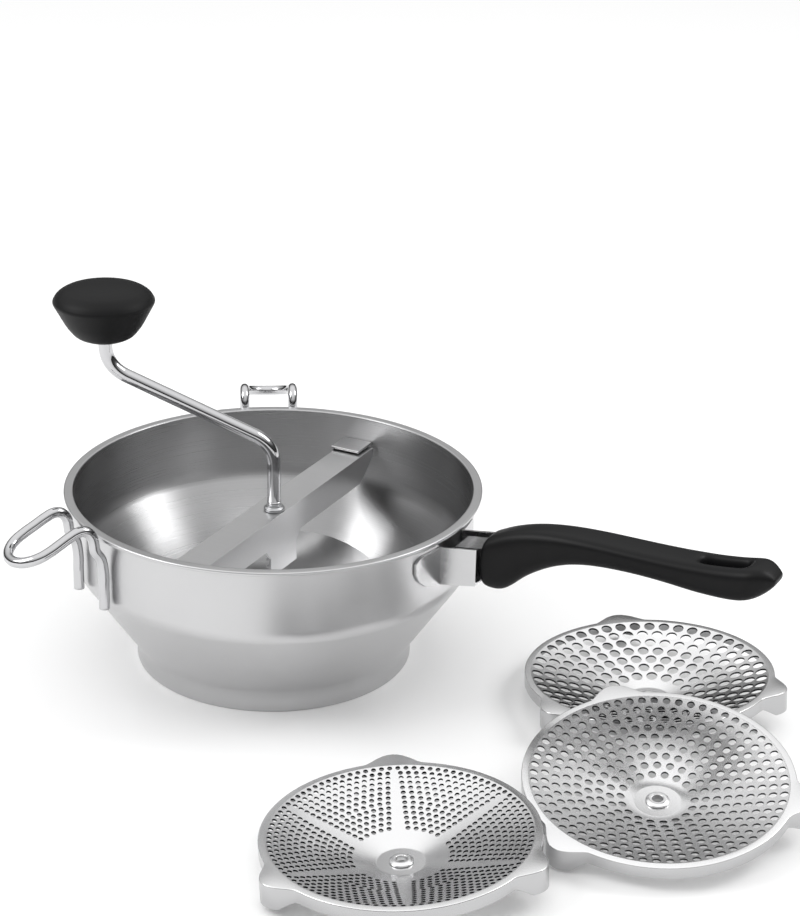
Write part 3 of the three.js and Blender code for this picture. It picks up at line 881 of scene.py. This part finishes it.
def rimBand(bm):
    # the flat rim and its turned-down skirt, swelling out and down at three ears
    outline = roundedOutline(discShape["rimCorners"], 3)
    before = set(bm.verts)
    ring = [bm.verts.new((p[0], 0, p[1])) for p in outline]
    edges = [bm.edges.new(pair) for pair in zip(ring, ring[1:] + ring[:1])]
    bmesh.ops.spin(
        bm,
        geom=ring + edges,
        cent=(0, 0, 0),
        axis=(0, 0, 1),
        angle=math.tau,
        steps=180,
        use_merge=True,
    )
    spread = math.radians(discShape["earSpread"])
    swellMost = discShape["earReach"] - discShape["radius"]
    for v in set(bm.verts) - before:
        r = math.hypot(v.co.x, v.co.y)
        turn = math.atan2(v.co.y, v.co.x) % (math.tau / 3)
        turn = min(turn, math.tau / 3 - turn)
        if r < 67.5 or turn > spread:
            continue
        swell = math.cos(turn / spread * math.pi / 2) ** 1.5
        grow = (r + swellMost * swell) / r
        v.co.x *= grow
        v.co.y *= grow
        if v.co.z < -5:
            v.co.z -= (discShape["earDrop"] - discShape["skirt"]) * min(1.0, swell * 1.6)
    bm.normal_update()
    # the skirt's upright faces take the darker copy of the disc steel: painted shade
    for face in {f for v in set(bm.verts) - before for f in v.link_faces}:
        if abs(face.normal.z) < 0.6:
            face.material_index = 2  # the turned-down skirt


def placeMatrix(size):
    x, y, z = size["place"]
    lean = math.radians(size["lean"])
    tip = Matrix.Rotation(math.radians(size["tilt"]), 4, Vector((-math.sin(lean), math.cos(lean), 0)))
    spot = Matrix.Translation(axis + Vector((x, y, z)) * mm)
    return spot @ tip @ Matrix.Rotation(math.radians(size["turn"]), 4, "Z")


for sizeName, size in discShape["sizes"].items():
    body = sizeName + "_sieve"
    bm = bmesh.new()
    sieveSheet(bm, size)
    rimBand(bm)
    bmesh.ops.transform(bm, matrix=placeMatrix(size) @ Matrix.Scale(mm, 4), verts=bm.verts)
    finishes = [discSteel, paintedHoleShade, skirtShadeSteel]
    disc = finishPiece(sizeName + "Disc", bm, finishes, body, ["disc_" + sizeName], False)
    disc.data.set_sharp_from_angle(angle=math.radians(38))
    turnedPiece(
        sizeName + "Eyelet",
        discShape["eyeletCorners"],
        48,
        (0, 0),
        discSteel,
        body,
        ["eyelet_" + sizeName],
        True,
        placeMatrix(size),
    )
    print(sizeName, "disc:", len(disc.data.polygons), "faces")


# floor, light and camera
studio = {
    "floorTone": 0.95,
    "strength": 1.27,
    # brightness by height, from level to straight up
    "sky": [(0.0, 0.02), (0.25, 0.07), (0.5, 0.6), (0.8, 1.0)],
    "boxes": [
        # place, aim, size, power
        ((-1.1, -0.9, 1.2), (-0.1, 0.0, 0.05), 0.9, 12),
        ((1.1, 0.9, 1.3), (-0.05, 0.05, 0.05), 0.8, 9),
    ],
}


def facing(place, aim):
    return (Vector(aim) - Vector(place)).to_track_quat("-Z", "Y").to_matrix().to_4x4()


def studioFloor():
    bm = bmesh.new()
    bmesh.ops.create_grid(bm, x_segments=4, y_segments=4, size=9)
    mesh = bpy.data.meshes.new("floorSheet")
    bm.to_mesh(mesh)
    bm.free()
    finish, start, shader = newFinish("floorPaper")
    place = start.make("ShaderNodeTexCoord", output=objectOutput)
    cloud = speckle(start, place, 2.0)
    tone = studio["floorTone"]
    plug(
        start,
        shader,
        {
            "Base Color": greyMix(start, cloud, (tone - 0.01,) * 3, (tone + 0.01,) * 3),
            "Roughness": 0.9,
            "Specular IOR Level": 0.0,
        },
    )
    mesh.materials.append(finish)
    floor = bpy.data.objects.new("floorSheet", mesh)
    floor.location.z = -0.0002
    bpy.context.scene.collection.objects.link(floor)


def studioWorld():
    world = bpy.data.worlds.new("studio")
    world.use_nodes = True
    tree = world.node_tree
    start = Signal(tree)
    place = start.make("ShaderNodeTexCoord", output=0)
    split = start.make("ShaderNodeSeparateXYZ", sockets={"Vector": place})
    height = Signal(tree, split.socket.node.outputs[2])
    ramp = start.make("ShaderNodeValToRGB", {"stops": studio["sky"]}, {0: height})
    backdrop = tree.nodes["Background"]
    tree.links.new(ramp.socket, backdrop.inputs["Color"])
    backdrop.inputs["Strength"].default_value = studio["strength"]
    bpy.context.scene.world = world


def studioLights():
    for k, (place, aim, size, power) in enumerate(studio["boxes"]):
        light = bpy.data.lights.new("softbox%d" % k, "AREA")
        light.shape = "SQUARE"
        light.size = size
        light.energy = power
        box = bpy.data.objects.new("softbox%d" % k, light)
        box.matrix_world = Matrix.Translation(place) @ facing(place, aim)
        bpy.context.scene.collection.objects.link(box)


shot = {
    "place": (0.5003, -0.93516, 0.60707),
    "aim": (-0.06178, 0.10272, 0.1118),
    "roll": 1.3217,
    "lens": 86.05,
}


def shotCamera():
    data = bpy.data.cameras.new("shot")
    data.lens = shot["lens"]
    data.sensor_width = 36
    data.clip_end = 50
    camera = bpy.data.objects.new("shot", data)
    turn = (Vector(shot["aim"]) - Vector(shot["place"])).to_track_quat("-Z", "Y")
    turn = turn @ Quaternion((0, 0, 1), math.radians(shot["roll"]))
    camera.matrix_world = Matrix.Translation(shot["place"]) @ turn.to_matrix().to_4x4()
    bpy.context.scene.collection.objects.link(camera)
    bpy.context.scene.camera = camera


studioFloor()
studioWorld()
studioLights()
shotCamera()
bpy.context.scene.view_settings.view_transform = "Standard"
print("studio set")
